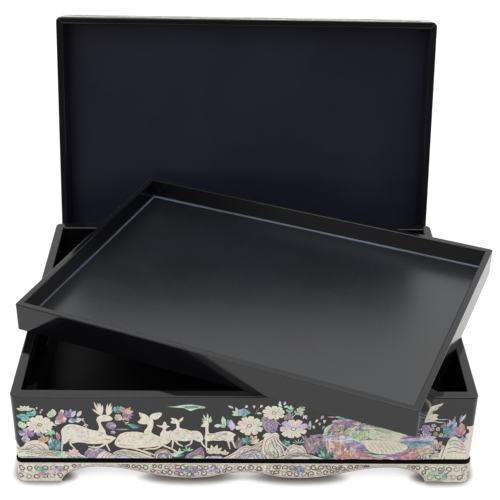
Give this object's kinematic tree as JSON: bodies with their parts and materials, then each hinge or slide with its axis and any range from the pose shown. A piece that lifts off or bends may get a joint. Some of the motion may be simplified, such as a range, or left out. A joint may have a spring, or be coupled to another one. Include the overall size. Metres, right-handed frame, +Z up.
{
  "type": "document box",
  "caption": "Rectangular lacquered box on a scalloped plinth, with a shallow lift-out tray laid across its rim and a lift-off lid standing behind it; for papers and keepsakes.",
  "frame": {"origin": "on the table, under the middle of the bounding box of the open set: box, tray and lid", "axes": "+Z up; +X along the box's width, to the right seen from the inlaid front; +Y from the front of the box to its back, where the lid stands"},
  "size_m": [0.3976, 0.4146, 0.2554],
  "materials": {
    "black_lacquer": "black lacquer over wood, polished",
    "satin_lacquer": "black lacquer over wood, satin",
    "shell_veneer": "wood faced and inlaid with mother-of-pearl under clear lacquer",
    "bare_wood": "bare sawn wood"
  },
  "bodies": {
    "box": {"plinth_front": "shell_veneer", "plinth_right": "shell_veneer", "plinth_back": "shell_veneer", "plinth_left": "shell_veneer", "glue_block_front_left": "bare_wood", "glue_block_front_right": "bare_wood", "glue_block_back_right": "bare_wood", "glue_block_back_left": "bare_wood", "bead_front": "black_lacquer", "bead_right": "black_lacquer", "bead_back": "black_lacquer", "bead_left": "black_lacquer", "front_wall": "black_lacquer", "right_wall": "black_lacquer", "back_wall": "black_lacquer", "left_wall": "black_lacquer", "box_floor": "satin_lacquer", "ledge_front": "satin_lacquer", "ledge_right": "satin_lacquer", "ledge_back": "satin_lacquer", "ledge_left": "satin_lacquer"},
    "tray": {"tray_front": "satin_lacquer", "tray_right": "satin_lacquer", "tray_back": "satin_lacquer", "tray_left": "satin_lacquer", "tray_floor": "satin_lacquer"},
    "lid": {"lid_panel": "black_lacquer", "lid_lower": "black_lacquer", "lid_right": "black_lacquer", "lid_upper": "black_lacquer", "lid_left": "black_lacquer"}
  },
  "joints": [
    {"name": "tray_lift", "type": "slide", "parent": "box", "child": "tray", "axis": [0, 0, 1], "range_m": [0, 0.12]},
    {"name": "lid_lift", "type": "slide", "parent": "box", "child": "lid", "axis": [0, 0.7071, 0.7071], "range_m": [0, 0.2]}
  ]
}
